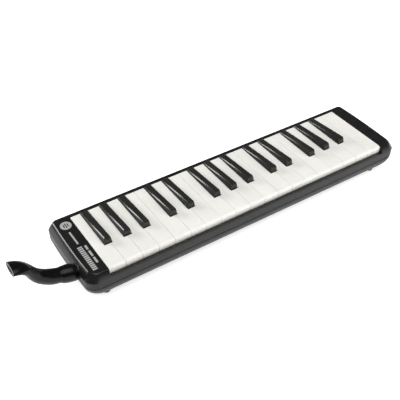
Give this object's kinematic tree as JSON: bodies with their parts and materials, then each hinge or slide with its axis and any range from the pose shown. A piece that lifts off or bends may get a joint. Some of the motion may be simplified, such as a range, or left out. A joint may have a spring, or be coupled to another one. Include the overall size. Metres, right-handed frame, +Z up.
{
  "type": "melodica",
  "caption": "Hand-held wind keyboard: black two-part casing, hinged white and black keys over reed cells, and a swan-neck mouthpiece.",
  "frame": {"origin": "on the table, under the middle of the whole instrument with its mouthpiece", "axes": "+X along the keyboard from the mouthpiece end to the high notes, +Y away from the player, +Z up"},
  "size_m": [0.4996, 0.104, 0.0751],
  "materials": {
    "casing_gloss": "glossy black, moulded",
    "casing_satin": "satin black, moulded",
    "mouthpiece_plastic": "glossy black",
    "silver_print": "silver ink",
    "rubber": "matt black",
    "steel": "zinc plated",
    "spring_wire": "drawn wire",
    "felt": "pressed felt",
    "inner_plastic": "unpainted moulding",
    "block_plastic": "pale grey moulding",
    "brass": "rolled brass",
    "seal_rubber": "soft rubber",
    "gasket_foam": "closed-cell foam",
    "white_key": "glossy ivory white",
    "black_key": "glossy black"
  },
  "bodies": {
    "casing": {"upper_casing": "casing_gloss", "lower_casing": "casing_satin", "casing_screws": "steel", "rubber_feet": "rubber", "cheek_print": "silver_print", "key_axle": "steel", "key_bed": "inner_plastic", "key_springs": "spring_wire", "front_felt": "felt", "bed_screws": "steel", "mouthpiece_socket": "inner_plastic", "inlet_duct": "inner_plastic", "duct_seal": "seal_rubber", "cell_block": "block_plastic", "reed_plate_low": "brass", "reed_plate_high": "brass", "reeds_low": "brass", "reeds_high": "brass", "chamber_gasket": "gasket_foam", "wind_chamber": "inner_plastic", "chamber_screws": "steel", "drain_sleeve": "inner_plastic", "drain_spring": "spring_wire"},
    "white_key_01": {"white_key_01": "white_key"},
    "black_key_01": {"black_key_01": "black_key"},
    "white_key_02": {"white_key_02": "white_key"},
    "black_key_02": {"black_key_02": "black_key"},
    "white_key_03": {"white_key_03": "white_key"},
    "black_key_03": {"black_key_03": "black_key"},
    "white_key_04": {"white_key_04": "white_key"},
    "white_key_05": {"white_key_05": "white_key"},
    "black_key_04": {"black_key_04": "black_key"},
    "white_key_06": {"white_key_06": "white_key"},
    "black_key_05": {"black_key_05": "black_key"},
    "white_key_07": {"white_key_07": "white_key"},
    "white_key_08": {"white_key_08": "white_key"},
    "black_key_06": {"black_key_06": "black_key"},
    "white_key_09": {"white_key_09": "white_key"},
    "black_key_07": {"black_key_07": "black_key"},
    "white_key_10": {"white_key_10": "white_key"},
    "black_key_08": {"black_key_08": "black_key"},
    "white_key_11": {"white_key_11": "white_key"},
    "white_key_12": {"white_key_12": "white_key"},
    "black_key_09": {"black_key_09": "black_key"},
    "white_key_13": {"white_key_13": "white_key"},
    "black_key_10": {"black_key_10": "black_key"},
    "white_key_14": {"white_key_14": "white_key"},
    "white_key_15": {"white_key_15": "white_key"},
    "black_key_11": {"black_key_11": "black_key"},
    "white_key_16": {"white_key_16": "white_key"},
    "black_key_12": {"black_key_12": "black_key"},
    "white_key_17": {"white_key_17": "white_key"},
    "black_key_13": {"black_key_13": "black_key"},
    "white_key_18": {"white_key_18": "white_key"},
    "white_key_19": {"white_key_19": "white_key"},
    "spigot_ring": {"spigot_seal": "seal_rubber"},
    "mouthpiece": {"mouthpiece": "mouthpiece_plastic", "mouthpiece_collar": "mouthpiece_plastic"},
    "drain_button": {"drain_button": "mouthpiece_plastic", "drain_seal": "seal_rubber"}
  },
  "joints": [
    {"name": "white_key_01_press", "type": "hinge", "parent": "casing", "child": "white_key_01", "pos_m": [-0.15189, 0.018, 0.033], "axis": [1, 0, 0], "range_deg": [0, 4.5], "stiffness_Nm_per_rad": 0.15, "springref_deg": -11.46, "deforming": ["key_springs"]},
    {"name": "black_key_01_press", "type": "hinge", "parent": "casing", "child": "black_key_01", "pos_m": [-0.14095, 0.018, 0.033], "axis": [1, 0, 0], "range_deg": [0, 4.5], "stiffness_Nm_per_rad": 0.15, "springref_deg": -11.46, "deforming": ["key_springs"]},
    {"name": "white_key_02_press", "type": "hinge", "parent": "casing", "child": "white_key_02", "pos_m": [-0.12925, 0.018, 0.033], "axis": [1, 0, 0], "range_deg": [0, 4.5], "stiffness_Nm_per_rad": 0.15, "springref_deg": -11.46, "deforming": ["key_springs"]},
    {"name": "black_key_02_press", "type": "hinge", "parent": "casing", "child": "black_key_02", "pos_m": [-0.11755, 0.018, 0.033], "axis": [1, 0, 0], "range_deg": [0, 4.5], "stiffness_Nm_per_rad": 0.15, "springref_deg": -11.46, "deforming": ["key_springs"]},
    {"name": "white_key_03_press", "type": "hinge", "parent": "casing", "child": "white_key_03", "pos_m": [-0.1058, 0.018, 0.033], "axis": [1, 0, 0], "range_deg": [0, 4.5], "stiffness_Nm_per_rad": 0.15, "springref_deg": -11.46, "deforming": ["key_springs"]},
    {"name": "black_key_03_press", "type": "hinge", "parent": "casing", "child": "black_key_03", "pos_m": [-0.09405, 0.018, 0.033], "axis": [1, 0, 0], "range_deg": [0, 4.5], "stiffness_Nm_per_rad": 0.15, "springref_deg": -11.46, "deforming": ["key_springs"]},
    {"name": "white_key_04_press", "type": "hinge", "parent": "casing", "child": "white_key_04", "pos_m": [-0.08346, 0.018, 0.033], "axis": [1, 0, 0], "range_deg": [0, 4.5], "stiffness_Nm_per_rad": 0.15, "springref_deg": -11.46, "deforming": ["key_springs"]},
    {"name": "white_key_05_press", "type": "hinge", "parent": "casing", "child": "white_key_05", "pos_m": [-0.07129, 0.018, 0.033], "axis": [1, 0, 0], "range_deg": [0, 4.5], "stiffness_Nm_per_rad": 0.15, "springref_deg": -11.46, "deforming": ["key_springs"]},
    {"name": "black_key_04_press", "type": "hinge", "parent": "casing", "child": "black_key_04", "pos_m": [-0.05975, 0.018, 0.033], "axis": [1, 0, 0], "range_deg": [0, 4.5], "stiffness_Nm_per_rad": 0.15, "springref_deg": -11.46, "deforming": ["key_springs"]},
    {"name": "white_key_06_press", "type": "hinge", "parent": "casing", "child": "white_key_06", "pos_m": [-0.048, 0.018, 0.033], "axis": [1, 0, 0], "range_deg": [0, 4.5], "stiffness_Nm_per_rad": 0.15, "springref_deg": -11.46, "deforming": ["key_springs"]},
    {"name": "black_key_05_press", "type": "hinge", "parent": "casing", "child": "black_key_05", "pos_m": [-0.03625, 0.018, 0.033], "axis": [1, 0, 0], "range_deg": [0, 4.5], "stiffness_Nm_per_rad": 0.15, "springref_deg": -11.46, "deforming": ["key_springs"]},
    {"name": "white_key_07_press", "type": "hinge", "parent": "casing", "child": "white_key_07", "pos_m": [-0.02456, 0.018, 0.033], "axis": [1, 0, 0], "range_deg": [0, 4.5], "stiffness_Nm_per_rad": 0.15, "springref_deg": -11.46, "deforming": ["key_springs"]},
    {"name": "white_key_08_press", "type": "hinge", "parent": "casing", "child": "white_key_08", "pos_m": [-0.01189, 0.018, 0.033], "axis": [1, 0, 0], "range_deg": [0, 4.5], "stiffness_Nm_per_rad": 0.15, "springref_deg": -11.46, "deforming": ["key_springs"]},
    {"name": "black_key_06_press", "type": "hinge", "parent": "casing", "child": "black_key_06", "pos_m": [-0.00095, 0.018, 0.033], "axis": [1, 0, 0], "range_deg": [0, 4.5], "stiffness_Nm_per_rad": 0.15, "springref_deg": -11.46, "deforming": ["key_springs"]},
    {"name": "white_key_09_press", "type": "hinge", "parent": "casing", "child": "white_key_09", "pos_m": [0.01075, 0.018, 0.033], "axis": [1, 0, 0], "range_deg": [0, 4.5], "stiffness_Nm_per_rad": 0.15, "springref_deg": -11.46, "deforming": ["key_springs"]},
    {"name": "black_key_07_press", "type": "hinge", "parent": "casing", "child": "black_key_07", "pos_m": [0.02245, 0.018, 0.033], "axis": [1, 0, 0], "range_deg": [0, 4.5], "stiffness_Nm_per_rad": 0.15, "springref_deg": -11.46, "deforming": ["key_springs"]},
    {"name": "white_key_10_press", "type": "hinge", "parent": "casing", "child": "white_key_10", "pos_m": [0.0342, 0.018, 0.033], "axis": [1, 0, 0], "range_deg": [0, 4.5], "stiffness_Nm_per_rad": 0.15, "springref_deg": -11.46, "deforming": ["key_springs"]},
    {"name": "black_key_08_press", "type": "hinge", "parent": "casing", "child": "black_key_08", "pos_m": [0.04595, 0.018, 0.033], "axis": [1, 0, 0], "range_deg": [0, 4.5], "stiffness_Nm_per_rad": 0.15, "springref_deg": -11.46, "deforming": ["key_springs"]},
    {"name": "white_key_11_press", "type": "hinge", "parent": "casing", "child": "white_key_11", "pos_m": [0.05654, 0.018, 0.033], "axis": [1, 0, 0], "range_deg": [0, 4.5], "stiffness_Nm_per_rad": 0.15, "springref_deg": -11.46, "deforming": ["key_springs"]},
    {"name": "white_key_12_press", "type": "hinge", "parent": "casing", "child": "white_key_12", "pos_m": [0.06871, 0.018, 0.033], "axis": [1, 0, 0], "range_deg": [0, 4.5], "stiffness_Nm_per_rad": 0.15, "springref_deg": -11.46, "deforming": ["key_springs"]},
    {"name": "black_key_09_press", "type": "hinge", "parent": "casing", "child": "black_key_09", "pos_m": [0.08025, 0.018, 0.033], "axis": [1, 0, 0], "range_deg": [0, 4.5], "stiffness_Nm_per_rad": 0.15, "springref_deg": -11.46, "deforming": ["key_springs"]},
    {"name": "white_key_13_press", "type": "hinge", "parent": "casing", "child": "white_key_13", "pos_m": [0.092, 0.018, 0.033], "axis": [1, 0, 0], "range_deg": [0, 4.5], "stiffness_Nm_per_rad": 0.15, "springref_deg": -11.46, "deforming": ["key_springs"]},
    {"name": "black_key_10_press", "type": "hinge", "parent": "casing", "child": "black_key_10", "pos_m": [0.10375, 0.018, 0.033], "axis": [1, 0, 0], "range_deg": [0, 4.5], "stiffness_Nm_per_rad": 0.15, "springref_deg": -11.46, "deforming": ["key_springs"]},
    {"name": "white_key_14_press", "type": "hinge", "parent": "casing", "child": "white_key_14", "pos_m": [0.11544, 0.018, 0.033], "axis": [1, 0, 0], "range_deg": [0, 4.5], "stiffness_Nm_per_rad": 0.15, "springref_deg": -11.46, "deforming": ["key_springs"]},
    {"name": "white_key_15_press", "type": "hinge", "parent": "casing", "child": "white_key_15", "pos_m": [0.12811, 0.018, 0.033], "axis": [1, 0, 0], "range_deg": [0, 4.5], "stiffness_Nm_per_rad": 0.15, "springref_deg": -11.46, "deforming": ["key_springs"]},
    {"name": "black_key_11_press", "type": "hinge", "parent": "casing", "child": "black_key_11", "pos_m": [0.13905, 0.018, 0.033], "axis": [1, 0, 0], "range_deg": [0, 4.5], "stiffness_Nm_per_rad": 0.15, "springref_deg": -11.46, "deforming": ["key_springs"]},
    {"name": "white_key_16_press", "type": "hinge", "parent": "casing", "child": "white_key_16", "pos_m": [0.15075, 0.018, 0.033], "axis": [1, 0, 0], "range_deg": [0, 4.5], "stiffness_Nm_per_rad": 0.15, "springref_deg": -11.46, "deforming": ["key_springs"]},
    {"name": "black_key_12_press", "type": "hinge", "parent": "casing", "child": "black_key_12", "pos_m": [0.16245, 0.018, 0.033], "axis": [1, 0, 0], "range_deg": [0, 4.5], "stiffness_Nm_per_rad": 0.15, "springref_deg": -11.46, "deforming": ["key_springs"]},
    {"name": "white_key_17_press", "type": "hinge", "parent": "casing", "child": "white_key_17", "pos_m": [0.1742, 0.018, 0.033], "axis": [1, 0, 0], "range_deg": [0, 4.5], "stiffness_Nm_per_rad": 0.15, "springref_deg": -11.46, "deforming": ["key_springs"]},
    {"name": "black_key_13_press", "type": "hinge", "parent": "casing", "child": "black_key_13", "pos_m": [0.18595, 0.018, 0.033], "axis": [1, 0, 0], "range_deg": [0, 4.5], "stiffness_Nm_per_rad": 0.15, "springref_deg": -11.46, "deforming": ["key_springs"]},
    {"name": "white_key_18_press", "type": "hinge", "parent": "casing", "child": "white_key_18", "pos_m": [0.19654, 0.018, 0.033], "axis": [1, 0, 0], "range_deg": [0, 4.5], "stiffness_Nm_per_rad": 0.15, "springref_deg": -11.46, "deforming": ["key_springs"]},
    {"name": "white_key_19_press", "type": "hinge", "parent": "casing", "child": "white_key_19", "pos_m": [0.21215, 0.018, 0.033], "axis": [1, 0, 0], "range_deg": [0, 4.5], "stiffness_Nm_per_rad": 0.15, "springref_deg": -11.46, "deforming": ["key_springs"]},
    {"name": "mouthpiece_pull", "type": "slide", "parent": "casing", "child": "spigot_ring", "axis": [-1, 0, 0], "range_m": [0, 0.016]},
    {"name": "mouthpiece_turn", "type": "hinge", "parent": "spigot_ring", "child": "mouthpiece", "pos_m": [-0.18445, -0.0212, 0.03], "axis": [-1, 0, 0], "range_deg": [-90, 90]},
    {"name": "drain_press", "type": "slide", "parent": "casing", "child": "drain_button", "axis": [-1, 0, 0], "range_m": [0, 0.002], "stiffness_N_per_m": 400, "springref_m": -0.002, "deforming": ["drain_spring"]}
  ]
}
